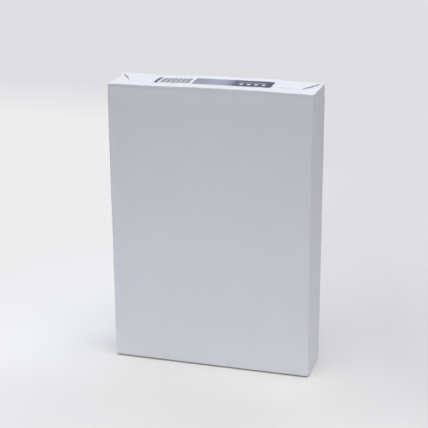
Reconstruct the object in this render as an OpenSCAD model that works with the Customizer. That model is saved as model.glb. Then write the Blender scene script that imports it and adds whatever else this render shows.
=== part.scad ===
/* [Paper] */
// Width of one sheet
sheet_w = 210; // [180:1:218]
// Length of one sheet
sheet_l = 297; // [210:1:356]
// Number of sheets in the pack
sheet_count = 500; // [350:50:550]
// Thickness of one sheet
sheet_t = 0.105; // [0.09:0.005:0.13]

/* [Wrapper] */
// Thickness of the wrapping paper
ply = 0.2; // [0.1:0.05:0.3]
// Height that one folded flap adds to an end
flap_step = 0.3; // [0.2:0.05:0.5]
// Outer radius of the four long edges
edge_r = 3; // [2:0.5:5]
// Outer radius of the folds round both ends
fold_r = 1; // [0.6:0.1:1.4]
// Rise of the middle of the outer flap above its ends, at the top
crown_rise = 1.6; // [1.2:0.1:2.4]
// Rise of the middle of the inner flap above its ends, at the top
front_rise = 0.6; // [0.6:0.1:1]
// Depth of the inner flap, from the front edge
inner_depth = 34; // [28:1:42]
// Depth of the outer flap, from the back edge
outer_depth = 33; // [26:1:38]
// Angle between the mitred flap edges and the narrow sides
mitre_angle = 22; // [16:1:32]
// Width of the long lap seam on the back
seam_w = 22; // [10:1:30]
// Distance of the seam from the middle of the back
seam_x = 78; // [-80:1:80]

/* [End label] */
// Width of the label along the end
label_w = 124; // [90:1:130]
// Height of the label across the end
label_d = 28; // [20:1:34]
// Offset of the label along the end
label_x = -1.5; // [-10:0.5:4]
// Offset of the label across the end
label_y = 0.5; // [-3:0.5:3]
// Thickness of the label stock
label_t = 0.12; // [0.08:0.01:0.2]
// Thickness of the glue under the label
glue_t = 0.04; // [0.02:0.01:0.1]
// Corner radius of the label
label_r = 3; // [1:0.5:5]
// Plain margin round the print
label_margin = 2; // [1:0.5:4]
// Thickness of the printed fields
ink_t = 0.04; // [0.02:0.01:0.06]
// Width of the dark band at the left of the print, in proportion to the other fields
band_w = 4; // [2:0.5:8]
// Width of the row of bars, in proportion to the other fields
bars_w = 30; // [16:1:40]
// Width of the slate field in the middle, in proportion to the other fields
slate_w = 42; // [20:1:60]
// Width of the dark field at the right, in proportion to the other fields
navy_w = 40; // [24:1:60]

/* [Hidden] */
$fn = 96;

// Outside of the wrapped stack
half_w = sheet_w / 2 + ply;
half_t = sheet_count * sheet_t / 2 + ply;

// Build-up of the folded ends: side tucks lowest, inner flap on them, outer flap on top
inner_level = ply + flap_step;
outer_level = ply + 2 * flap_step;
outer_foot = 0;
inner_foot = flap_step;
tuck_foot = 2 * flap_step;
stack_z = tuck_foot + ply;
stack_top = stack_z + sheet_l;
free_edge_y = half_t - outer_depth;

// Both top flaps follow wide cylinders that lie across the pack
crown_r = crown_radius(crown_rise);
front_r = crown_radius(front_rise);
crown_fn = 3600;
join_z = sheet_l / 2;
join_lap = 20;
shoulder_lift = 0.05 * fold_r;
flap_root = 4;
clear = 10;

// Print on the label: its fields and the gaps beside the bars share out its width
ink_gap = glue_t + label_t;
print_w = label_w - 2 * label_margin;
print_d = label_d - 2 * label_margin;
print_x = label_x - print_w / 2;
print_gap = 2;
share = print_w / (band_w + bars_w + slate_w + navy_w + 2 * print_gap);
band_span = share * band_w;
bars_span = share * bars_w;
slate_span = share * slate_w;
navy_span = share * navy_w;
bars_x = print_x + band_span + share * print_gap;
slate_x = bars_x + bars_span + share * print_gap;
navy_x = slate_x + slate_span;
block_count = 4;
block_w = 0.14 * navy_span;
block_gap = 0.05 * navy_span;
block_d = 0.3 * print_d;
blocks_w = block_count * (block_w + block_gap) - block_gap;
blocks_x = navy_x + (navy_span - blocks_w) / 2;
blocks_y = label_y - 0.3 * print_d;
rule_d = 0.07 * print_d;
rule_y = blocks_y + block_d + 0.08 * print_d;
bar_count = 19;
bar_pitch = bars_span / bar_count;
bar_d = 0.75 * print_d;
comb_d = 0.8;

function crown_radius(rise) = round(pow(half_w, 2) / (2 * rise));

// A rectangle with round corners, given by its two opposite corners
module round_rect(x0, y0, x1, y1, r) {
  translate([x0 + r, y0]) square([x1 - x0 - 2 * r, y1 - y0]);
  translate([x0, y0 + r]) square([x1 - x0, y1 - y0 - 2 * r]);
  for (x = [x0 + r, x1 - r]) {
    for (y = [y0 + r, y1 - r]) {
      translate([x, y]) circle(r);
    }
  }
}

// Plan outline of the wrapped tube
module tube_outline() {
  round_rect(-half_w, -half_t, half_w, half_t, edge_r);
}

// A profile that is open upwards, with its two lower corners rounded
module rounded_foot(a0, a1, z0, z1) {
  translate([a0 + fold_r, z0]) square([a1 - a0 - 2 * fold_r, z1 - z0]);
  translate([a0, z0 + fold_r]) square([a1 - a0, z1 - z0 - fold_r]);
  for (a = [a0 + fold_r, a1 - fold_r]) {
    translate([a, z0 + fold_r]) circle(fold_r);
  }
}

// Lower part of the pack, with its foot at the height of one layer of the bottom folds
module lower_block(foot) {
  intersection() {
    translate([0, 0, foot]) linear_extrude(join_z - foot) tube_outline();
    rotate([90, 0, 90]) linear_extrude(2 * sheet_w, center = true)
      rounded_foot(-half_t, half_t, foot, join_z + clear);
    rotate([90, 0, 0]) linear_extrude(2 * sheet_w, center = true)
      rounded_foot(-half_w, half_w, foot, join_z + clear);
  }
}

// Section of a crowned end, out from the axis of its crown, with round fold edges
module crown_profile(rim_r, depth, more) {
  floor_r = rim_r - depth;
  translate([floor_r, fold_r - half_t - more])
    square([depth, 2 * half_t + more - 2 * fold_r]);
  translate([floor_r, -half_t - more])
    square([depth - fold_r, 2 * half_t + more]);
  for (a = [fold_r - half_t - more, half_t - fold_r]) {
    translate([rim_r - fold_r, a]) circle(fold_r);
  }
}

// Turns a section about the axis of a crown, which lies along Y far below the pack
module crowned(axis_r, rise) {
  span = asin(half_w / (axis_r - stack_top)) + 0.1;
  translate([0, 0, stack_top + rise - axis_r]) rotate([90, 0, 0])
    rotate([0, 0, 90 - span]) rotate_extrude(angle = 2 * span, $fn = crown_fn) children();
}

// Front view of the pack, with the upper corners rounded below the crown
module shoulders(level) {
  shoulder_z = stack_top + level - fold_r + shoulder_lift;
  low_z = join_z - 2 * join_lap;
  translate([-half_w, low_z]) square([2 * half_w, shoulder_z - low_z]);
  translate([fold_r - half_w, low_z])
    square([2 * (half_w - fold_r), stack_top + clear - low_z]);
  for (x = [fold_r - half_w, half_w - fold_r]) {
    translate([x, shoulder_z]) circle(fold_r);
  }
}

// Upper part of the pack, with its crowned end at the height of one layer of the folds
module upper_block(level) {
  intersection() {
    translate([0, 0, join_z - join_lap])
      linear_extrude(stack_top + clear - join_z + join_lap) tube_outline();
    crowned(front_r, front_rise)
      crown_profile(front_r + level, stack_top - join_z + 2 * join_lap, 0);
    rotate([90, 0, 0]) linear_extrude(2 * sheet_w, center = true) shoulders(level);
  }
}

// Plan of a flap folded in from the front edge, mitred from the ends of the flat face
module flap_plan(depth) {
  fold_w = half_w - edge_r;
  free_w = fold_w - depth * tan(mitre_angle);
  translate([0, -half_t])
    polygon([[-fold_w, 0], [fold_w, 0], [free_w, depth], [-free_w, depth]]);
}

// Flap folded down over the top end, with a crown of its own
module top_flap(depth, level, axis_r, rise) {
  intersection() {
    crowned(axis_r, rise) crown_profile(axis_r + level, flap_root, 0);
    translate([0, 0, stack_top - flap_root]) linear_extrude(flap_root + clear)
      flap_plan(depth);
  }
}

// Flap folded up under the flat bottom end
module bottom_flap(depth, foot) {
  intersection() {
    translate([0, 0, foot]) linear_extrude(flap_root) flap_plan(depth);
    rotate([90, 0, 90]) linear_extrude(2 * sheet_w, center = true)
      rounded_foot(-half_t, half_t, foot, foot + 2 * flap_root);
  }
}

// The lap seam runs up the back and over the outer flap of the top end
module lap_seam() {
  rim_r = crown_r + outer_level + ply;
  intersection() {
    crowned(crown_r, crown_rise) crown_profile(rim_r, stack_top + 2 * clear, ply);
    translate([seam_x, 0, 0]) rotate([90, 0, 90]) linear_extrude(seam_w, center = true)
      intersection() {
        rounded_foot(-half_t, half_t + ply, outer_foot, stack_top + clear);
        translate([free_edge_y, outer_foot]) square([2 * half_t, stack_top + clear]);
      }
  }
}

module wrapped_ream() {
  color("#e6e8ee") {
    lower_block(tuck_foot);
    upper_block(ply);
    bottom_flap(inner_depth, inner_foot);
    rotate([0, 0, 180]) bottom_flap(outer_depth, outer_foot);
    top_flap(inner_depth, inner_level, front_r, front_rise);
    rotate([0, 0, 180]) top_flap(outer_depth, outer_level, crown_r, crown_rise);
    lap_seam();
  }
}

// A thin layer that lies on both top flaps and steps down at the free edge of the outer one
module drape(gap, t) {
  upper_r = crown_r + outer_level + gap;
  lower_r = front_r + inner_level + gap;
  step_a = gap - free_edge_y;
  intersection() {
    difference() {
      union() {
        crowned(crown_r, crown_rise) {
          translate([upper_r, -half_t]) square([t, half_t + step_a + t]);
          translate([upper_r - flap_root, step_a]) square([flap_root + t, t]);
        }
        crowned(front_r, front_rise) translate([lower_r - t, step_a + t / 2])
          square([2 * t, half_t - step_a]);
      }
      crowned(front_r, front_rise) translate([lower_r - 2 * flap_root, 0])
        square([2 * flap_root, 2 * half_t]);
    }
    translate([0, 0, stack_top - clear]) linear_extrude(3 * clear) children();
  }
}

module print_outline() {
  translate([label_x, label_y])
    round_rect(-print_w / 2, -print_d / 2, print_w / 2, print_d / 2, label_r);
}

module end_label() {
  color("#f6f7fb") drape(glue_t, label_t) translate([label_x, label_y])
    round_rect(-label_w / 2, -label_d / 2, label_w / 2, label_d / 2, label_r);
}

// Dark band and dark field, with plain blocks and a rule left white in the field
module label_navy_print() {
  color("#3c4468") drape(ink_gap, ink_t) difference() {
    intersection() {
      print_outline();
      union() {
        translate([print_x, label_y - print_d]) square([band_span, 2 * print_d]);
        translate([navy_x, label_y - print_d]) square([navy_span, 2 * print_d]);
      }
    }
    for (i = [0 : block_count - 1]) {
      translate([blocks_x + i * (block_w + block_gap), blocks_y])
        square([block_w, block_d]);
    }
    translate([blocks_x, rule_y]) square([blocks_w, rule_d]);
  }
}

module label_slate_print() {
  color("#7e86aa") drape(ink_gap, ink_t)
    translate([slate_x, label_y - print_d / 2]) square([slate_span, print_d]);
}

// A comb of plain bars whose widths repeat by a simple rule
module label_bars() {
  color("#5a5c68") drape(ink_gap, ink_t) {
    translate([bars_x, label_y - bar_d / 2]) square([bars_span, comb_d]);
    for (i = [0 : bar_count - 1]) {
      bar_w = bar_pitch * (0.35 + 0.15 * ((i * 5) % 3));
      translate([bars_x + i * bar_pitch, label_y - bar_d / 2]) square([bar_w, bar_d]);
    }
  }
}

wrapped_ream();
end_label();
label_navy_print();
label_slate_print();
label_bars();
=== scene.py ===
"""A sealed ream of A4 copy paper in a plain white wrapper, standing on its short end.

The pack and its print are in millimetres until a mesh is made. Materials, floor, lamps
and camera are in metres. The front faces -y, the floor is at z 0, and the label is on
the top end.
"""

import math
from collections import namedtuple

import bmesh
import bpy
import numpy as np
from mathutils import Matrix, Vector, noise
from mathutils.geometry import delaunay_2d_cdt


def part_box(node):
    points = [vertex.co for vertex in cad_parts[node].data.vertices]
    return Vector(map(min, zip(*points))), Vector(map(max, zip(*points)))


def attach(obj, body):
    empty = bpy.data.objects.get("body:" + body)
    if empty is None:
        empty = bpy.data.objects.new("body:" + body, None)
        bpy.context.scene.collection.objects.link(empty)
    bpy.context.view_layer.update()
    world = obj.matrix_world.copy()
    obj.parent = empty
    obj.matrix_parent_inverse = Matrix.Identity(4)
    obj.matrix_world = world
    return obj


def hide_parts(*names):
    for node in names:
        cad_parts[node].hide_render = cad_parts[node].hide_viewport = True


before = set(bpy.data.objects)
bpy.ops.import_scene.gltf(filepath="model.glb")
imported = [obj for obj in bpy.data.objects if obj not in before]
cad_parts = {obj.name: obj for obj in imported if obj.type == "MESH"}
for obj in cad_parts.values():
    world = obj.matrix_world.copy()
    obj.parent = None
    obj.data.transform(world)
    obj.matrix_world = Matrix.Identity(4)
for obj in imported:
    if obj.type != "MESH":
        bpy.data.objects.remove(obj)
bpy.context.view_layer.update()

MM = 0.001

# Sizes of the pack, from the CAD node or as in its source
low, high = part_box("wrapped_ream")
HALF_W = high.x / MM
FRONT = low.y / MM
BACK = -FRONT
STACK_TOP = 297.8
BOTTOM_TUCK = 0.6
PLY = 0.2
LAYER = 0.3
EDGE_R = 3.0
FOLD_R = 0.9

# Free edge of the outer flap: its place and half its length
FREE_Y = -6.55
FREE_X = 88.9

# Lap seam of the wrapper: its sharp edge and where it starts to fade, half the width of
# the sharp edge, the room that other points leave to it, and the curl along it
SEAM = (67.0, 89.0)
SEAM_STEP = 0.03
SEAM_EDGES = (SEAM[0] - SEAM_STEP, SEAM[0] + SEAM_STEP)
SEAM_CLEAR = 0.3
SEAM_FADE = 9.0
SEAM_CURL = 0.15
SEAM_CURL_REACH = 2.5

# Label and print, as lowest x and y and highest x and y
LABEL = (-64.3, -13.5, 60.5, 14.5)
LABEL_R = 3.0
LABEL_T = 0.12
GLUE = 0.04
PRINT = (-62.5, -11.5, 58.5, 12.5)
INK_T = 0.04


def smooth(a, b, x):
    """Eases from 0 where x is a to 1 where x is b."""
    t = np.clip((np.asarray(x, float) - a) / (b - a), 0.0, 1.0)
    return t * t * (3.0 - 2.0 * t)


def clouds(x, y, z, size, seed=0.0):
    """Smooth noise between about -1 and 1, with features of that size."""
    off_grid = 0.37
    points = np.broadcast_arrays(x, y, z)
    flat = zip(*(np.ravel(p) for p in points))
    values = [
        noise.noise(Vector((a / size + seed, b / size - seed, c / size + off_grid)))
        for a, b, c in flat
    ]
    return np.array(values).reshape(points[0].shape)


# The folded ends in plan


def rim_corner():
    """Middle of the rim's round corner, where the mitred edges start."""
    reach = (EDGE_R - FOLD_R) * math.sqrt(0.5)
    return HALF_W - EDGE_R + reach, BACK - EDGE_R + reach


CORNER_X, CORNER_Y = rim_corner()
MITRE = (CORNER_X - FREE_X) / (CORNER_Y - FREE_Y)
SLANT = math.hypot(1, MITRE)


def mitre_x(y):
    """Place of the outer flap's mitred edge at y. The inner flap's is mirrored in y."""
    return CORNER_X - MITRE * (CORNER_Y - y)


def edge_gap(x, y):
    """Distance inwards from the mitred edge of the outer flap."""
    return (mitre_x(y) - np.abs(x)) / SLANT


def from_corner(x, y):
    return np.hypot(np.abs(x) - CORNER_X, np.abs(y) - CORNER_Y)


def taper(x, y):
    """0 at the four corners, where every fold starts, and 1 from 9 mm away."""
    return smooth(0.0, 9.0, from_corner(x, y))


def region_of(x, y):
    """The sheet that lies on top at a place of a folded end."""
    if y > FREE_Y and abs(x) < mitre_x(y):
        return "outer"
    if abs(x) < mitre_x(-y):
        return "inner"
    return "tuck"


def sheet_below(above, y):
    """The sheet under a flap's edge: the inner flap lies in front of y 0 only."""
    return "inner" if above == "outer" and y <= 0 else "tuck"


# Heights of the folded ends


def seam_lap(x):
    """The upper sheet of the lap ends in one sharp edge and fades out at the other."""
    edge = smooth(*SEAM_EDGES, x)
    fade = 1 - smooth(SEAM[1], SEAM[1] + SEAM_FADE, x)
    curl = SEAM_CURL * np.exp(-np.maximum(x - SEAM[0], 0) / SEAM_CURL_REACH)
    return edge * fade * (PLY + curl)


def rise(x):
    """Share of the top's puff along its length: up from the left, down to the right."""
    up = 0.85 * smooth(-62, -16, x) + 0.15 * smooth(-16, 30, x)
    return up * (1 - 0.9 * smooth(47, 86, x) - 0.1 * smooth(86, 100, x))


def top_ground(x, y):
    """Height of the tucks of the top end. The puff grows from the front to the back."""
    front_puff, more_at_back, cloud_height = 0.75, 0.8, 0.09
    v = (y - FRONT) / (BACK - FRONT)
    z = STACK_TOP + PLY + rise(x) * (front_puff + more_at_back * v)
    return z + cloud_height * clouds(x, y, 0, 17.0, 3.1) * smooth(0, 8, BACK - np.abs(y))


def mitre_groove(x, y):
    """Shallow groove in the lower sheets beside the outer flap's mitred edge.

    On the right it is shallower and grows more slowly from the corner.
    """
    width = 0.6
    right = np.asarray(x) > 0
    depth = np.where(right, 0.32, 0.45)
    full_from = np.where(right, 22, 12)
    away = smooth(3, full_from, from_corner(x, y))
    beside = np.exp(-((edge_gap(x, y) / width) ** 2)) * away
    return depth * beside * smooth(FREE_Y - 0.5, FREE_Y + 3, y)


def outer_step(x, y):
    """Height of the outer flap over the tucks: its mitres lift, its free edge is pressed."""
    lift_height, lift_reach, least_share = 0.3, 3.5, 0.3
    lift = lift_height * np.exp(-np.maximum(edge_gap(x, y), 0) / lift_reach)
    lift = lift * smooth(2, 12, from_corner(x, y)) * smooth(FREE_Y, FREE_Y + 6, y)
    share = least_share + (1 - least_share) * smooth(FREE_Y, FREE_Y + 7, y)
    return LAYER + LAYER * share + lift


def top_height(region, x, y):
    z = top_ground(x, y)
    if region == "outer":
        return z + outer_step(x, y) * taper(x, y) + seam_lap(x)
    z = z - mitre_groove(x, y)
    if region == "inner":
        z = z + LAYER * taper(x, y)
    return z


def bottom_height(region, x, y):
    """Height outwards, so downwards: 0 is the floor. The long rims stand a little off it."""
    stand_off = 1.25
    rim = 1 - smooth(0.5, 8, BACK - np.abs(y))
    z = -BOTTOM_TUCK - stand_off * rim + 0 * x
    layers = {"tuck": 0, "inner": 1, "outer": 2}[region]
    return z + layers * LAYER * taper(x, y)


# The mesh of a folded end

# Steps between points: along the mitres, the free edge and the seam, and in the grid
MITRE_STEP = 1.1
FREE_STEP = 1.5
GRID_STEP = 1.6

# Rows of points beside the edges: their distances inwards, their steps and least gaps
OUTER_ROWS = (-2.4, -1.4, -0.9, -0.55, -0.25, 0.4, 1.1, 2.4, 4.2)
FREE_ROWS = (-1.2, -0.4, 0.4, 1.2)
MITRE_ROW_STEP = 1.3
FREE_ROW_STEP = 1.7
OUTER_GAP, INNER_GAP, RIM_GAP, GRID_GAP = 0.2, 0.3, 0.4, 0.9

# Room that the points leave to the rim, and how far they go out in its round corners
RIM_CLEAR = 0.3
RIM_CORNER = 1.7


class Shell:
    """Vertices in millimetres and faces of one closed mesh."""

    def __init__(self):
        self.points = []
        self.faces = []

    def add(self, x, y, z):
        self.points.append((float(x), float(y), float(z)))
        return len(self.points) - 1

    def face(self, *corners):
        self.faces.append(corners)

    def strip(self, a, b):
        for i in range(len(a) - 1):
            self.face(a[i], a[i + 1], b[i + 1], b[i])


def run(a, b, step):
    """Points from a to b, both included."""
    n = max(1, round(math.dist(a, b) / step))
    return [
        (a[0] + (b[0] - a[0]) * i / n, a[1] + (b[1] - a[1]) * i / n)
        for i in range(n + 1)
    ]


def spare_points(rim):
    """Rows beside the edges and then a plain grid, each point with its least gap."""
    for side in (1, -1):
        for off in OUTER_ROWS:
            for y in np.arange(FREE_Y + 0.8, CORNER_Y - 2.0, MITRE_ROW_STEP):
                yield side * (mitre_x(y) - off * SLANT), y, OUTER_GAP
            for y in np.arange(-CORNER_Y + 2.0, -0.6, MITRE_ROW_STEP):
                yield side * (mitre_x(-y) - off * SLANT), y, INNER_GAP
    for off in FREE_ROWS:
        for x in np.arange(-FREE_X, FREE_X, FREE_ROW_STEP):
            yield x, FREE_Y + off, INNER_GAP
    for x, y in rim:
        inwards = 1 - 0.7 / math.hypot(x, y) if abs(x) > HALF_W - 4 else 1
        yield x * inwards, y - math.copysign(0.8, y), RIM_GAP
    for x in np.arange(-HALF_W + GRID_STEP, HALF_W - 1, GRID_STEP):
        for y in np.arange(FRONT + 1.9, BACK - 1, GRID_STEP):
            yield x, y, GRID_GAP


def clear_of_rim(x, y):
    """Whether a point lies inside the rim, round corners included, with a little room."""
    if abs(x) > HALF_W - FOLD_R - RIM_CLEAR or abs(y) > BACK - FOLD_R - RIM_CLEAR:
        return False
    past_x = abs(x) - (HALF_W - EDGE_R)
    past_y = abs(y) - (BACK - EDGE_R)
    return not (past_x > 0 and past_y > 0 and math.hypot(past_x, past_y) > RIM_CORNER)


class EndPlan:
    """Points of a folded end in plan, and the edges that its triangles keep."""

    def __init__(self, rim, with_seam):
        self.rim = rim
        self.points = list(rim)
        self.edges = [(i, (i + 1) % len(rim)) for i in range(len(rim))]
        self.mitres = [self.add_mitres(side) for side in (1, -1)]
        (right, _), (left, _) = self.mitres
        path = run((FREE_X, FREE_Y), (-FREE_X, FREE_Y), FREE_STEP)
        self.free = self.line(path[:-1], right[-1])
        self.join(self.free, left[-1])
        if with_seam:
            for x in SEAM_EDGES:
                self.line(run((x, BACK - FOLD_R - 0.5), (x, FREE_Y + 0.5), FREE_STEP))

    def line(self, path, first=None):
        """Adds a path, whose first point may be one that is there already."""
        ids = [] if first is None else [first]
        for point in path[len(ids) :]:
            self.points.append(point)
            ids.append(len(self.points) - 1)
        self.edges.extend(zip(ids[:-1], ids[1:]))
        return ids

    def join(self, ids, last):
        """Ends a line at a point that is there already."""
        self.edges.append((ids[-1], last))
        ids.append(last)

    def nearest_rim(self, x, y):
        return min(range(len(self.rim)), key=lambda i: math.dist(self.rim[i], (x, y)))

    def add_mitres(self, side):
        """Mitred edges of both flaps on one side. The inner one ends under the outer one."""
        crossing = (side * mitre_x(0.0), 0.0)
        back = self.nearest_rim(side * CORNER_X, CORNER_Y)
        outer = self.line(run(self.rim[back], crossing, MITRE_STEP), back)
        crossed = outer[-1]
        path = run(crossing, (side * FREE_X, FREE_Y), MITRE_STEP)
        outer += self.line(path, crossed)[1:]
        front = self.nearest_rim(side * CORNER_X, -CORNER_Y)
        inner = self.line(run(self.rim[front], crossing, MITRE_STEP)[:-1], front)
        self.join(inner, crossed)
        return outer, inner

    def all_points(self):
        """The points of the lines, and the spare ones that keep their gap."""
        kept = np.array(self.points)
        for x, y, gap in spare_points(self.rim):
            if clear_of_rim(x, y) and ((kept - (x, y)) ** 2).sum(1).min() > gap * gap:
                kept = np.vstack([kept, (x, y)])
        return kept


# One point of a flap's edge: its number, three vertices, and the way into the slot
EdgePoint = namedtuple("EdgePoint", "number top mid inner shift")


def slot_depth(slit, x, y):
    """Depth of the slot under the outer flap's edge. The right one is shallower."""
    away = smooth(0, 10, from_corner(x, y)) * smooth(FREE_Y, FREE_Y + 4, y)
    return float((0.55 if x > 0 else 1.0) * slit * away)


class FoldedEnd:
    """One folded end. Each sheet has its own vertices, and its edges are real steps."""

    def __init__(self, shell, plan, height, sign):
        self.shell = shell
        self.height = height
        self.sign = sign
        self.copies = {}
        self.flat, _, triangles, origin, _, _ = delaunay_2d_cdt(
            [Vector(p) for p in plan.all_points()], plan.edges, [], 0, 1e-7, True
        )
        self.number = {old: new for new, olds in enumerate(origin) for old in olds}
        for triangle in triangles:
            x = sum(self.flat[v].x for v in triangle) / 3
            y = sum(self.flat[v].y for v in triangle) / 3
            region = region_of(x, y)
            shell.face(*(self.corner(v, region) for v in triangle))

    def corner(self, v, region):
        """The vertex of one sheet at a point of the plan."""
        if (v, region) not in self.copies:
            x, y = self.flat[v]
            z = self.sign * float(self.height(region, np.array(x), np.array(y)))
            self.copies[v, region] = self.shell.add(x, y, z)
        return self.copies[v, region]

    def edge_points(self, path, above, slit):
        """The cut edge of a sheet, at most one ply thick, and the roof of its slot."""
        numbers = [self.number[i] for i in path]
        points = []
        for k, v in enumerate(numbers):
            x, y = self.flat[v]
            before = self.flat[numbers[max(k - 1, 0)]]
            after = self.flat[numbers[min(k + 1, len(numbers) - 1)]]
            along = Vector(after) - Vector(before)
            inward = Vector((-along.y, along.x)).normalized()
            if inward.x * x > 0:
                inward = -inward
            shift = inward * slot_depth(slit, x, y)
            top = self.corner(v, above)
            below = self.corner(v, sheet_below(above, y))
            x0, y0, z0 = self.shell.points[top]
            drop = self.sign * min(PLY, 0.5 * abs(z0 - self.shell.points[below][2]))
            mid = self.shell.add(x0, y0, z0 - drop)
            inner = self.shell.add(x0 + shift.x, y0 + shift.y, z0 - drop)
            points.append(EdgePoint(v, top, mid, inner, shift))
        return points

    def riser(self, path, above, slit=0.0, crossed=None, foot=None):
        """The step at a sheet's edge: cut edge, roof, back wall and floor of the slot.

        An outer mitre crosses the inner one. There the sheet below changes, and the
        inner flap's own step meets this one at foot, the low side of its cut edge.
        """
        points = self.edge_points(path, above, slit)
        floors = {}

        def floor(point, region):
            if (point.number, region) not in floors:
                x, y, z = self.shell.points[self.corner(point.number, region)]
                vertex = self.shell.add(x + point.shift.x, y + point.shift.y, z)
                floors[point.number, region] = vertex
            return floors[point.number, region]

        for a, b in zip(points[:-1], points[1:]):
            middle_y = (self.flat[a.number].y + self.flat[b.number].y) / 2
            region = sheet_below(above, middle_y)
            floor_a, floor_b = floor(a, region), floor(b, region)
            self.shell.face(a.top, b.top, b.mid, a.mid)
            self.shell.face(a.mid, b.mid, b.inner, a.inner)
            wall = [a.inner, b.inner, floor_b, floor_a]
            if region == "tuck" and crossed is not None and b.number == self.number[crossed]:
                wall.insert(2, floor(b, "inner"))
            self.shell.face(*wall)
            corners = self.corner(b.number, region), self.corner(a.number, region)
            self.shell.face(floor_a, floor_b, *corners)
        if crossed is not None:
            cross = next(p for p in points if p.number == self.number[crossed])
            self.shell.face(
                self.corner(cross.number, "tuck"),
                foot,
                self.corner(cross.number, "inner"),
                floor(cross, "inner"),
                floor(cross, "tuck"),
            )
        return points


def build_end(shell, rim, height, sign, slit):
    plan = EndPlan(rim, with_seam=sign > 0)
    end = FoldedEnd(shell, plan, height, sign)
    for outer, inner in plan.mitres:
        last = end.riser(inner, "inner")[-1]
        end.riser(outer, "outer", slit, inner[-1], last.mid)
    end.riser(plan.free, "outer")


# The long walls

FLAT_X = HALF_W - EDGE_R
FLAT_Y = BACK - EDGE_R
FRONT_POINTS = 109
SIDE_POINTS = 40
ARC_PARTS = 8
FOLD_PARTS = 6

# Soft forms of the long walls, by how far they stand off or lean in
PILLOW = 0.45
HOLLOW = 0.22
LEAN_TOP, LEAN_FOOT = 1.0, 0.25
WAVES, RIPPLES, SIDE_WAVES = 0.10, 0.035, 0.07
STREAKS = 0.035
WAVER = 0.16
CRISP = 1.9
LIP, LIP_MORE_LEFT = 0.14, 0.26

# Rows of points: distances from a rim, where the even rows start, and their number
ROWS_NEAR = (1.2, 1.6, 2.1, 2.8, 4.2, 6.0, 8.0, 10.5, 13.5, 17.0)
ROWS_START = 21
ROWS_BETWEEN = 78


def round_edge(side_x, side_y, first_angle):
    """One upright edge in plan: places and outward directions."""
    arc = []
    for k in range(1, ARC_PARTS):
        a = math.radians(first_angle + 90 * k / ARC_PARTS)
        c, s = math.cos(a), math.sin(a)
        arc.append((side_x * FLAT_X + EDGE_R * c, side_y * FLAT_Y + EDGE_R * s, c, s))
    return arc


def wall_ring():
    """Plan points of the tube and their outward directions, anticlockwise from above."""
    front = list(np.linspace(-FLAT_X, FLAT_X, FRONT_POINTS))
    back = [x for x in front if min(abs(x - s) for s in SEAM_EDGES) > SEAM_CLEAR]
    back = sorted([*back, *SEAM_EDGES], reverse=True)
    ring = [(x, FRONT, 0.0, -1.0) for x in front]
    ring += round_edge(1, -1, -90)
    ring += [(HALF_W, y, 1.0, 0.0) for y in np.linspace(-FLAT_Y, FLAT_Y, SIDE_POINTS)]
    ring += round_edge(1, 1, 0)
    ring += [(x, BACK, 0.0, 1.0) for x in back]
    ring += round_edge(-1, 1, 90)
    ring += [(-HALF_W, y, -1.0, 0.0) for y in np.linspace(FLAT_Y, -FLAT_Y, SIDE_POINTS)]
    ring += round_edge(-1, -1, 180)
    return np.array(ring)


def swell(x, y, nx, ny, z):
    """How far the wrapper stands off the flat wall."""
    broad = np.abs(ny)
    narrow = np.abs(nx)
    t = np.clip(z / STACK_TOP, 0, 1)
    # The broad faces bulge, lean in at both ends and have faint waves
    pillow = PILLOW * (1 - np.clip(np.abs(x) / 104, 0, 1) ** 2) * np.sin(math.pi * t) ** 0.7
    lean = -LEAN_TOP * smooth(STACK_TOP - 18, STACK_TOP + 3, z) - LEAN_FOOT * smooth(9, 0, z)
    waves = WAVES * clouds(x, y, z, 62.0, 1.7) + RIPPLES * clouds(x, y, z, 21.0, 5.2)
    front = broad * (pillow + lean + waves)
    # The narrow sides are hollow, and the edges of the sheets show as fine streaks
    hollow = -HOLLOW * (1 - np.clip(np.abs(y) / 24, 0, 1) ** 2) * np.sin(math.pi * t) ** 0.5
    sheets = STREAKS * clouds(y * 6.0, 0, z * 0.05, 9.0, 8.0)
    side_waves = SIDE_WAVES * clouds(x, y, z, 34.0, 2.2)
    side = narrow * (hollow + sheets + side_waves + 0.5 * lean)
    # The upright edges waver, and all but the front right one are sharper than the solid's
    corner = WAVER * clouds(x, y, z, 26.0, 9.4) * broad * narrow * 4
    crisp = np.where((x < 0) | (y > 0), CRISP, 0.0) * broad * narrow
    # A thin lip under the top fold of the front grows to the left
    lip = np.maximum(-ny, 0) * smooth(STACK_TOP - 2.4, STACK_TOP - 1.1, z)
    lip = lip * (LIP + LIP_MORE_LEFT * smooth(20, -90, x))
    return front + side + corner + crisp + lip


def rim_region(x, y):
    """The sheet that folds in from a point of the rim."""
    if y > CORNER_Y - 1e-6 and abs(x) <= CORNER_X + 1e-6:
        return "outer"
    if y < -CORNER_Y + 1e-6 and abs(x) <= CORNER_X + 1e-6:
        return "inner"
    return "tuck"


def wall_rows(low_z, top_z):
    """Rows of the tube from the bottom rim to the top one: inset and heights."""
    arc = np.radians(np.linspace(0, 90, FOLD_PARTS))
    fold = [(FOLD_R * (1 - math.cos(a)), FOLD_R * (1 - math.sin(a))) for a in arc]
    between = np.linspace(ROWS_START, STACK_TOP - ROWS_START, ROWS_BETWEEN)
    rows = [(inset, low_z + up) for inset, up in reversed(fold)]
    rows += [(0.0, low_z + up) for up in ROWS_NEAR]
    rows += [(0.0, np.full_like(low_z, z)) for z in between]
    rows += [(0.0, top_z - down) for down in reversed(ROWS_NEAR)]
    rows += [(inset, top_z - down) for inset, down in fold]
    return rows


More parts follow.
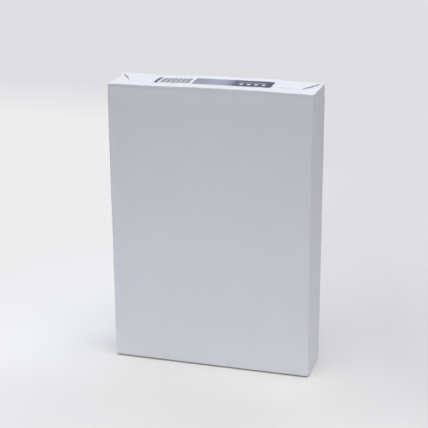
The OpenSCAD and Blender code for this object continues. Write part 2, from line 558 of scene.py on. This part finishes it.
# Knocks and ears of the soft paper: centre, push and reach
WARPS = (
    # Corners of the top end: ear and edge at the back left, then the other three
    ((-105.0, 25.0, 298.5), (-2.9, 0.2, 0.9), 8.0),
    ((-99.0, 18.0, 298.5), (-2.2, 0.0, 0.0), 8.0),
    ((105.0, 25.0, 298.5), (0.4, 0.3, 0.6), 7.0),
    ((-105.0, -26.0, 298.0), (-0.4, 0.0, 0.0), 6.0),
    ((105.0, -26.0, 298.0), (-0.2, 0.2, -0.3), 6.0),
    # Crushed corner at the front left of the bottom
    ((-106.0, -27.0, 34.0), (-0.8, 1.9, 0.0), 15.0),
    ((-94.0, -27.0, 13.0), (0.0, 1.2, 0.0), 6.0),
    # Soft places of the upright edges
    ((-105.0, -26.0, 200.0), (-0.5, 0.35, 0.0), 24.0),
    ((105.0, 26.0, 150.0), (0.0, -0.3, 0.0), 14.0),
    ((105.0, 26.0, 52.0), (0.2, 0.3, 0.0), 12.0),
    ((-105.0, 26.0, 96.0), (0.35, -0.5, 0.0), 15.0),
)


def warp(shell):
    """Pushes the points near each knock, and keeps all of them on or over the floor."""
    points = np.array(shell.points)
    for centre, push, reach in WARPS:
        d = np.linalg.norm(points - centre, axis=1) / reach
        points += np.exp(-d * d)[:, None] * push
    points[:, 2] = np.maximum(points[:, 2], 0.0)
    shell.points = [tuple(p) for p in points.tolist()]


def build_ream():
    """The wrapper as one closed shell: a tube of long walls between two folded ends."""
    top_slit, bottom_slit = 2.2, 1.6
    shell = Shell()
    x, y, nx, ny = wall_ring().T
    rim = list(zip((x - FOLD_R * nx).tolist(), (y - FOLD_R * ny).tolist()))
    top_z = np.array([float(top_height(rim_region(*p), *p)) for p in rim])
    low_z = np.array([-float(bottom_height(rim_region(*p), *p)) for p in rim])
    lap = seam_lap(x) * (ny > 0.5)
    loops = []
    for inset, z in wall_rows(low_z, top_z):
        out = (swell(x, y, nx, ny, z) + lap) * (1 - inset / FOLD_R) - inset
        loops.append([shell.add(*p) for p in zip(x + nx * out, y + ny * out, z)])
    for a, b in zip(loops[:-1], loops[1:]):
        shell.strip(a + a[:1], b + b[:1])
    build_end(shell, rim, top_height, 1, top_slit)
    build_end(shell, rim, bottom_height, -1, bottom_slit)
    warp(shell)
    return shell


# Sheets of the label and its print

SHEET_STEP = 1.6
LABEL_STEP_Y = 0.7
PRINT_STEP_Y = 0.8
BAR_STEP_Y = 1.0
RIM_ROW = 0.2

# How far from an end the grid of a sheet is pulled in to follow its round corners
PULL_REACH = 8.0

# Distances from the free edge between which the label steps down over it
DRAPE = (2.0, 0.05)


def label_height(x, y):
    """Top of the flaps, stepping softly down over the free edge of the outer one."""
    step = smooth(FREE_Y - DRAPE[0], FREE_Y - DRAPE[1], y)
    outer = top_height("outer", x, y)
    inner = top_height("inner", x, y)
    return inner + (outer - inner) * step + GLUE


def pull_corner(x, y, outline):
    """Moves a grid point so that the ends of a grid follow round corners."""
    x0, y0, x1, y1 = outline
    near = max(0.0, LABEL_R - min(y - y0, y1 - y))
    cut = LABEL_R - math.sqrt(max(0.0, LABEL_R * LABEL_R - near * near))
    for end, side in ((x0, -1), (x1, 1)):
        reach = PULL_REACH - side * (end - x)
        if reach > 0:
            x -= side * cut * reach / PULL_REACH
    return x


def ticks(a, b, step, *marks):
    """Grid positions from a to b that include the marks."""
    stops = sorted({a, b, *[m for m in marks if a < m < b]})
    values = [a]
    for p, q in zip(stops[:-1], stops[1:]):
        n = max(1, round((q - p) / step))
        values += [p + (q - p) * k / n for k in range(1, n + 1)]
    return values


def everywhere(x, y):
    return True


def layer(name, xs, ys, keep, outline=PRINT, base=LABEL_T, thick=INK_T):
    """A thin closed sheet on a grid, with only the cells that keep() says yes to."""
    shell = Shell()
    top, low = {}, {}

    def vertex(i, j):
        if (i, j) not in top:
            x = pull_corner(xs[i], ys[j], outline)
            z = float(label_height(np.array(x), np.array(ys[j]))) + base
            top[i, j] = shell.add(x, ys[j], z + thick)
            low[i, j] = shell.add(x, ys[j], z)
        return i, j

    cells = {
        (i, j)
        for i in range(len(xs) - 1)
        for j in range(len(ys) - 1)
        if keep((xs[i] + xs[i + 1]) / 2, (ys[j] + ys[j + 1]) / 2)
    }
    for i, j in sorted(cells):
        a, b, c, d = vertex(i, j), vertex(i + 1, j), vertex(i + 1, j + 1), vertex(i, j + 1)
        shell.face(top[a], top[b], top[c], top[d])
        shell.face(low[d], low[c], low[b], low[a])
        for p, q, beside in (
            (a, b, (i, j - 1)),
            (b, c, (i + 1, j)),
            (c, d, (i, j + 1)),
            (d, a, (i - 1, j)),
        ):
            if beside not in cells:
                shell.face(top[p], low[p], low[q], top[q])
    return make_object(name, shell)


def make_object(name, shell):
    """A mesh object of a shell, with the points that lie on each other merged."""
    merge, sharp = 0.0015 * MM, math.radians(38)
    bm = bmesh.new()
    verts = [bm.verts.new((x * MM, y * MM, z * MM)) for x, y, z in shell.points]
    for face in shell.faces:
        bm.faces.new([verts[i] for i in face])
    bmesh.ops.remove_doubles(bm, verts=bm.verts, dist=merge)
    bmesh.ops.recalc_face_normals(bm, faces=bm.faces)
    mesh = bpy.data.meshes.new(name)
    bm.to_mesh(mesh)
    bm.free()
    mesh.shade_smooth()
    mesh.set_sharp_from_angle(angle=sharp)
    obj = bpy.data.objects.new(name, mesh)
    bpy.context.scene.collection.objects.link(obj)
    return obj


# Shader nodes


def new_material(name):
    mat = bpy.data.materials.new(name)
    mat.use_nodes = True
    tree = mat.node_tree
    return mat, tree, tree.nodes["Principled BSDF"]


def node(tree, kind, inputs=None, **settings):
    """A new node. An input is linked if it is a socket, and otherwise set."""
    n = tree.nodes.new(kind)
    for key, value in settings.items():
        setattr(n, key, value)
    for key, value in (inputs or {}).items():
        if isinstance(value, bpy.types.NodeSocket):
            tree.links.new(value, n.inputs[key])
        else:
            n.inputs[key].default_value = value
    return n


def object_coords(tree):
    return node(tree, "ShaderNodeTexCoord").outputs["Object"]


def split_xyz(tree, coords):
    return node(tree, "ShaderNodeSeparateXYZ", {"Vector": coords}).outputs


def noise_at(tree, coords, scale, detail, stretch=(1, 1, 1)):
    mapped = node(tree, "ShaderNodeMapping", {"Vector": coords, "Scale": stretch})
    return node(
        tree,
        "ShaderNodeTexNoise",
        {"Vector": mapped.outputs["Vector"], "Scale": scale, "Detail": detail},
    ).outputs["Fac"]


def calc(tree, operation, first, second=0.0):
    inputs = {0: first, 1: second}
    return node(tree, "ShaderNodeMath", inputs, operation=operation).outputs["Value"]


def remap(tree, value, low_in, high_in, low_out=0.0, high_out=1.0):
    return node(
        tree,
        "ShaderNodeMapRange",
        {
            "Value": value,
            "From Min": low_in,
            "From Max": high_in,
            "To Min": low_out,
            "To Max": high_out,
        },
    ).outputs["Result"]


def blend_colours(tree, fac, first, second):
    """A ramp between two colours, flat at both ends."""
    ramp = node(tree, "ShaderNodeValToRGB", {"Fac": fac})
    for mark, position, colour in zip(ramp.color_ramp.elements, (0.3, 0.7), (first, second)):
        mark.position = position
        mark.color = (*colour, 1)
    return ramp.outputs["Color"]


def mix_colours(tree, blend, fac, first, second):
    return node(
        tree,
        "ShaderNodeMix",
        {0: fac, 6: first, 7: second},
        data_type="RGBA",
        blend_type=blend,
    ).outputs[2]


def finish_paper(tree, bsdf, colour, cloud, fibre, rough, specular, bump, depth):
    """Colour, uneven gloss and fine bump of a paper or an ink."""
    tree.links.new(colour, bsdf.inputs["Base Color"])
    tree.links.new(remap(tree, cloud, 0.3, 0.7, *rough), bsdf.inputs["Roughness"])
    bsdf.inputs["Specular IOR Level"].default_value = specular
    inputs = {"Strength": bump, "Distance": depth, "Height": fibre}
    bump_node = node(tree, "ShaderNodeBump", inputs)
    tree.links.new(bump_node.outputs["Normal"], bsdf.inputs["Normal"])


# Materials

WRAPPER_COLOUR = (0.765, 0.772, 0.82)
LABEL_COLOUR = (0.795, 0.8, 0.84)
BAR_COLOUR = (0.085, 0.085, 0.09)

# Gloss and bump of each surface. Roughness has two limits, and depth is in metres
WRAPPER_FINISH = dict(rough=(0.38, 0.5), specular=0.45, bump=0.45, depth=0.00003)
LABEL_FINISH = dict(rough=(0.42, 0.55), specular=0.4, bump=0.5, depth=0.00003)
BAR_FINISH = dict(rough=(0.42, 0.55), specular=0.3, bump=0.3, depth=0.00003)
GRADED_FINISH = dict(rough=(0.42, 0.54), specular=0.3, bump=0.3, depth=0.00002)

# Where the streaks of the narrow sides fade in, and where they end, in metres
SIDE_X = (0.1035, 0.1048)
SIDE_TOP = 0.2965

# Colours of the graded inks along their fields
NAVY_STOPS = (
    (0.0, (0.105, 0.12, 0.19)),
    (0.22, (0.066, 0.074, 0.13)),
    (1.0, (0.046, 0.052, 0.10)),
)
SLATE_STOPS = (
    (0.0, (0.28, 0.275, 0.35)),
    (0.33, (0.295, 0.305, 0.39)),
    (0.58, (0.335, 0.365, 0.465)),
    (0.84, (0.29, 0.32, 0.42)),
    (1.0, (0.165, 0.185, 0.265)),
)


def wrapper_material():
    """The coated wrapper. Its narrow sides show the edges of the sheets as faint streaks."""
    mat, tree, bsdf = new_material("wrapper_paper")
    coords = object_coords(tree)
    place = split_xyz(tree, coords)
    cloud = noise_at(tree, coords, scale=26.0, detail=4.0)
    fibre = noise_at(tree, coords, scale=1300.0, detail=4.0)
    streak = noise_at(tree, coords, scale=1.0, detail=2.0, stretch=(2.0, 420.0, 2.5))
    on_side = remap(tree, calc(tree, "ABSOLUTE", place["X"]), *SIDE_X)
    under_fold = calc(tree, "LESS_THAN", place["Z"], SIDE_TOP)
    tone = remap(tree, calc(tree, "ADD", cloud, fibre), 0.6, 1.4)
    darker = tuple(c * 0.985 for c in WRAPPER_COLOUR)
    lighter = tuple(c * 1.01 for c in WRAPPER_COLOUR)
    body = blend_colours(tree, tone, darker, lighter)
    lines = blend_colours(tree, streak, (0.965, 0.962, 0.94), (1.0, 0.998, 0.978))
    mask = calc(tree, "MULTIPLY", on_side, under_fold)
    colour = mix_colours(tree, "MULTIPLY", mask, body, lines)
    finish_paper(tree, bsdf, colour, cloud, fibre, **WRAPPER_FINISH)
    return mat


def paper_material(name, colour, tone, finish):
    """Coated paper or plain ink: cloudy tone, fine fibres, uneven gloss."""
    mat, tree, bsdf = new_material(name)
    coords = object_coords(tree)
    cloud = noise_at(tree, coords, scale=38.0, detail=4.0)
    fibre = noise_at(tree, coords, scale=1500.0, detail=4.0)
    half = remap(tree, calc(tree, "ADD", cloud, fibre), 0.0, 2.0)
    darker = tuple(c * (1 - tone) for c in colour)
    lighter = tuple(c * (1 + tone) for c in colour)
    shade = blend_colours(tree, half, darker, lighter)
    finish_paper(tree, bsdf, shade, cloud, fibre, **finish)
    return mat


def graded_ink(name, span, stops):
    """Printed ink whose colour changes along the label, between two places in millimetres."""
    mat, tree, bsdf = new_material(name)
    coords = object_coords(tree)
    place = split_xyz(tree, coords)
    along = remap(tree, place["X"], span[0] * MM, span[1] * MM)
    ramp = node(tree, "ShaderNodeValToRGB", {"Fac": along})
    marks = ramp.color_ramp.elements
    for position, _ in stops[1:-1]:
        marks.new(position)
    for mark, (position, colour) in zip(marks, stops):
        mark.position = position
        mark.color = (*colour, 1)
    grain = noise_at(tree, coords, scale=1400.0, detail=3.0)
    speck = blend_colours(tree, grain, (0.93, 0.93, 0.93), (1.0, 1.0, 1.0))
    shade = mix_colours(tree, "MULTIPLY", 1.0, ramp.outputs["Color"], speck)
    finish_paper(tree, bsdf, shade, grain, grain, **GRADED_FINISH)
    return mat


# The five pieces


def dress(obj, mat, cad_node):
    obj.data.materials.append(mat)
    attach(obj, "root")
    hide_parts(cad_node)


ream = make_object("ream_wrapper", build_ream())
dress(ream, wrapper_material(), "wrapped_ream")

label = layer(
    "label_sheet",
    ticks(LABEL[0], LABEL[2], SHEET_STEP),
    ticks(LABEL[1], LABEL[3], LABEL_STEP_Y, LABEL[1] + RIM_ROW, LABEL[3] - RIM_ROW),
    everywhere,
    outline=LABEL,
    base=0.0,
    thick=LABEL_T,
)
label_stock = paper_material("label_paper", LABEL_COLOUR, tone=0.02, finish=LABEL_FINISH)
dress(label, label_stock, "end_label")

# Fields of the print from left to right: dark band, bars, slate field, navy field
BAND_W = 4.0
BARS_W = 32.0
NAVY_W = 40.0
BARS_GAP = 2.0
SLATE_GAP = 2.2
BAND_END = PRINT[0] + BAND_W
BARS = (BAND_END + BARS_GAP, BAND_END + BARS_GAP + BARS_W)
NAVY = (PRINT[2] - NAVY_W, PRINT[2])
SLATE = (BARS[1] + SLATE_GAP, NAVY[0])

# Four blocks and a rule are left free in the navy field
BLOCKS = 4
BLOCK_W = 3.6
BLOCK_GAP = 4.0
BLOCK_PITCH = BLOCK_W + BLOCK_GAP
BLOCKS_W = BLOCKS * BLOCK_W + (BLOCKS - 1) * BLOCK_GAP
BLOCKS_X = NAVY[0] + (NAVY[1] - NAVY[0] - BLOCKS_W) / 2
BLOCK_Y = (-4.9, -1.6)
RULE_Y = (2.7, 3.8)


def navy_part(x, y):
    if x < BAND_END:
        return True
    if x < NAVY[0]:
        return False
    if not BLOCKS_X < x < BLOCKS_X + BLOCKS_W:
        return True
    in_block = (x - BLOCKS_X) % BLOCK_PITCH < BLOCK_W and BLOCK_Y[0] < y < BLOCK_Y[1]
    return not in_block and not RULE_Y[0] < y < RULE_Y[1]


block_sides = [BLOCKS_X + k * BLOCK_PITCH + e for k in range(BLOCKS) for e in (0, BLOCK_W)]
rim_rows = (PRINT[1] + RIM_ROW, PRINT[3] - RIM_ROW)
rows = ticks(PRINT[1], PRINT[3], PRINT_STEP_Y, *rim_rows, *BLOCK_Y, *RULE_Y)
columns = ticks(PRINT[0], PRINT[2], SHEET_STEP, BAND_END, NAVY[0], *block_sides)
navy = layer("label_print_navy", columns, rows, navy_part)
dress(navy, graded_ink("navy_ink", NAVY, NAVY_STOPS), "label_navy_print")

slate = layer("label_print_slate", ticks(*SLATE, SHEET_STEP), rows, everywhere)
dress(slate, graded_ink("slate_ink", SLATE, SLATE_STOPS), "label_slate_print")

# Upright bars joined by a rail at their foot. Their widths, as shares of the pitch, are
# the least one and up to two steps more
BAR_COUNT = 19
BAR_PITCH = (BARS[1] - BARS[0]) / BAR_COUNT
BAR_WIDTHS = (0.42, 0.14)
BAR_Y = (-9.3, 9.5)
RAIL_TOP = BAR_Y[0] + 0.8

bars = []
for k in range(BAR_COUNT):
    start = BARS[0] + k * BAR_PITCH
    width = BAR_PITCH * (BAR_WIDTHS[0] + BAR_WIDTHS[1] * ((k * 5) % 3))
    bars.append((start, start + width))


def bar_part(x, y):
    return y < RAIL_TOP or any(a < x < b for a, b in bars)


comb = layer(
    "label_print_bars",
    sorted({*BARS, *[end for bar in bars for end in bar]}),
    ticks(*BAR_Y, BAR_STEP_Y, RAIL_TOP, FREE_Y - 2, FREE_Y - 1, FREE_Y),
    bar_part,
)
bar_ink = paper_material("bar_ink", BAR_COLOUR, tone=0.08, finish=BAR_FINISH)
dress(comb, bar_ink, "label_bars")


# The sweep that the pack stands on, in metres

FLOOR_RINGS = (0.3, 0.6, 1.0, 1.5, 2.0, 2.6, 3.2, 4.0)
BEND_R = 1.6
BEND_PARTS = 12
SWEEP_TOP = 3.2
SWEEP_PARTS = 96
SWEEP_DROP = 0.00005

# Floor paint with painted light and shade: lighter on the left, darker on the right, a painted
# pool of light in front of the pack, and the paint far away
SWEEP_LEFT_LIT, SWEEP_RIGHT_SHADED = (0.9, 0.895, 0.87), (0.69, 0.68, 0.67)
SWEEP_PAINTED_LIGHT = (0.98, 0.975, 0.96, 1)
SWEEP_PAINTED_LIGHT_SHARE = 0.3
SWEEP_FAR = (0.16, 0.16, 0.165, 1)

# Tone of the backdrop, near and left, and far and right: painted falloff of the light, with
# painted shade to the right and far away
BACKDROP_LEFT_LIT, BACKDROP_RIGHT_SHADED = (0.845, 0.845, 0.86), (0.735, 0.732, 0.75)


def sweep_mesh():
    """One round sheet: flat under and round the pack, curving up far away."""
    floor_r = FLOOR_RINGS[-1]
    profile = [(r, 0.0) for r in FLOOR_RINGS]
    for k in range(1, BEND_PARTS + 1):
        a = math.radians(90 * k / BEND_PARTS)
        profile.append((floor_r + BEND_R * math.sin(a), BEND_R * (1 - math.cos(a))))
    profile.append((floor_r + BEND_R, SWEEP_TOP))
    bm = bmesh.new()
    turns = [2 * math.pi * k / SWEEP_PARTS for k in range(SWEEP_PARTS)]
    rings = [
        [bm.verts.new((r * math.cos(t), r * math.sin(t), z)) for t in turns]
        for r, z in profile
    ]
    bm.faces.new(rings[0])
    for a, b in zip(rings[:-1], rings[1:]):
        for i in range(SWEEP_PARTS):
            j = (i + 1) % SWEEP_PARTS
            bm.faces.new((a[i], b[i], b[j], a[j]))
    mesh = bpy.data.meshes.new("sweep")
    bm.to_mesh(mesh)
    bm.free()
    mesh.shade_smooth()
    return mesh


def sweep_colour(tree, coords, place, away):
    """Colour of the sweep, with painted light and shade: darker to the right and behind, and a
    painted pool of light in front of the pack.
    """
    cloud = noise_at(tree, coords, scale=1.6, detail=2.0)
    # Painted shade: the floor darkens to the right as the light falls off, and more so behind the
    # pack
    side = remap(tree, place["X"], -0.24, 0.24, -0.5, 0.5)
    shade_behind = remap(tree, place["Y"], -0.12, 0.06, 0.1, 1.0)
    shade = calc(tree, "ADD", calc(tree, "MULTIPLY", side, shade_behind), cloud)
    shade = remap(tree, shade, -0.15, 1.15)
    colour = blend_colours(tree, shade, SWEEP_LEFT_LIT, SWEEP_RIGHT_SHADED)
    # Painted light: a paler patch just in front of the pack, mostly before its right half, that
    # lifts the shadow at its foot
    painted_light = SWEEP_PAINTED_LIGHT_SHARE
    for axis, start, end, at_start, at_end in (
        ("Y", -0.11, -0.045, 0.0, 1.0),
        ("Y", -0.02, 0.03, 1.0, 0.0),
        ("X", -0.08, 0.03, 0.0, 1.0),
        ("X", 0.08, 0.15, 1.0, 0.0),
    ):
        fade = remap(tree, place[axis], start, end, at_start, at_end)
        painted_light = calc(tree, "MULTIPLY", fade, painted_light)
    colour = mix_colours(tree, "MIX", painted_light, colour, SWEEP_PAINTED_LIGHT)
    # Far from the pack the sweep gives less light back
    dimmer = remap(tree, away, 0.34, 0.65)
    return mix_colours(tree, "MIX", dimmer, colour, SWEEP_FAR)


def backdrop_tone(tree, place):
    """The tone that the camera sees far from the pack, with painted shade: a little darker to the
    right and further back.
    """
    across = remap(tree, place["X"], -0.45, 0.25)
    deep = remap(tree, place["Y"], 0.7, 1.5)
    both = calc(tree, "ADD", across, deep)
    return blend_colours(tree, both, BACKDROP_LEFT_LIT, BACKDROP_RIGHT_SHADED)


def sweep_material():
    """Matt paint near the pack. Far away, the camera and glossy rays see a glowing tone with
    painted shade.
    """
    mat, tree, bsdf = new_material("sweep_paint")
    coords = object_coords(tree)
    place = split_xyz(tree, coords)
    away = node(tree, "ShaderNodeVectorMath", {0: coords}, operation="LENGTH").outputs["Value"]
    colour = sweep_colour(tree, coords, place, away)
    tree.links.new(colour, bsdf.inputs["Base Color"])
    bsdf.inputs["Roughness"].default_value = 0.75
    bsdf.inputs["Specular IOR Level"].default_value = 0.2
    ray = node(tree, "ShaderNodeLightPath").outputs
    seen = calc(tree, "MAXIMUM", ray["Is Camera Ray"], ray["Is Glossy Ray"])
    seen = calc(tree, "MAXIMUM", seen, ray["Is Transmission Ray"])
    far = remap(tree, away, 0.22, 0.38)
    tone = node(tree, "ShaderNodeEmission", {"Color": backdrop_tone(tree, place), "Strength": 1.0})
    mix = node(
        tree,
        "ShaderNodeMixShader",
        {
            0: calc(tree, "MULTIPLY", far, seen),
            1: bsdf.outputs["BSDF"],
            2: tone.outputs["Emission"],
        },
    )
    output = tree.nodes["Material Output"]
    tree.links.new(mix.outputs["Shader"], output.inputs["Surface"])
    return mat


sweep = bpy.data.objects.new("sweep", sweep_mesh())
sweep.data.materials.append(sweep_material())
# It lies a hair under the pack, so that no two faces share one plane
sweep.location.z = -SWEEP_DROP
bpy.context.scene.collection.objects.link(sweep)


# Lamps and world, in metres and watts

WARM = (1.0, 0.985, 0.74)
COOL = (0.97, 0.96, 1.0)
LAMPS = (
    # Name, place, target, size, power, colour
    ("overhead", (0.3, -0.55, 2.35), (0, 0, 0), (2.6, 1.9), 26.7, WARM),
    ("low_front", (0, -0.44, 0.1), (0, 0, 0.04), (0.45, 0.16), 0.165, COOL),
    ("low_right", (0.6, -0.1, 0.14), (0, 0, 0.03), (0.4, 0.2), 0.085, WARM),
)
WORLD_COLOUR = (0.813, 0.836, 1.0, 1)
WORLD_STRENGTH = 1.065


def area_light(name, place, target, size, power, colour):
    data = bpy.data.lights.new(name, "AREA")
    data.shape = "RECTANGLE"
    data.size, data.size_y = size
    data.energy = power
    data.color = colour
    obj = bpy.data.objects.new(name, data)
    obj.location = place
    aim = Vector(target) - Vector(place)
    obj.rotation_mode = "QUATERNION"
    obj.rotation_quaternion = aim.to_track_quat("-Z", "Y")
    obj.visible_camera = False
    bpy.context.scene.collection.objects.link(obj)


for lamp in LAMPS:
    area_light(*lamp)

world = bpy.data.worlds.new("studio")
bpy.context.scene.world = world
world.use_nodes = True
background = world.node_tree.nodes["Background"]
background.inputs["Color"].default_value = WORLD_COLOUR
background.inputs["Strength"].default_value = WORLD_STRENGTH


# The photograph's view, solved from the corners of the pack

AZIMUTH, ELEVATION, ROLL = 16.2648, 18.5625, -0.3717
TARGET = Vector((-2.676, 0.0, 160.88)) * MM
DISTANCE = 1211.45 * MM
IMAGE_PIXELS = 428
FOCAL_PIXELS = 1171.99
SENSOR_MM = 36.0


def add_camera():
    azimuth, elevation, roll = (math.radians(a) for a in (AZIMUTH, ELEVATION, ROLL))
    back = Vector(
        (
            math.sin(azimuth) * math.cos(elevation),
            -math.cos(azimuth) * math.cos(elevation),
            math.sin(elevation),
        )
    )
    right = (-back).cross(Vector((0, 0, 1))).normalized()
    up = right.cross(-back)
    right, up = (
        right * math.cos(roll) + up * math.sin(roll),
        up * math.cos(roll) - right * math.sin(roll),
    )
    data = bpy.data.cameras.new("camera")
    data.sensor_width = SENSOR_MM
    data.lens = FOCAL_PIXELS / IMAGE_PIXELS * SENSOR_MM
    data.clip_start, data.clip_end = 0.05, 60.0
    cam = bpy.data.objects.new("camera", data)
    turn = Matrix((right, up, back)).transposed().to_4x4()
    cam.matrix_world = Matrix.Translation(TARGET + back * DISTANCE) @ turn
    bpy.context.scene.collection.objects.link(cam)
    bpy.context.scene.camera = cam


add_camera()
bpy.context.scene.view_settings.view_transform = "Standard"
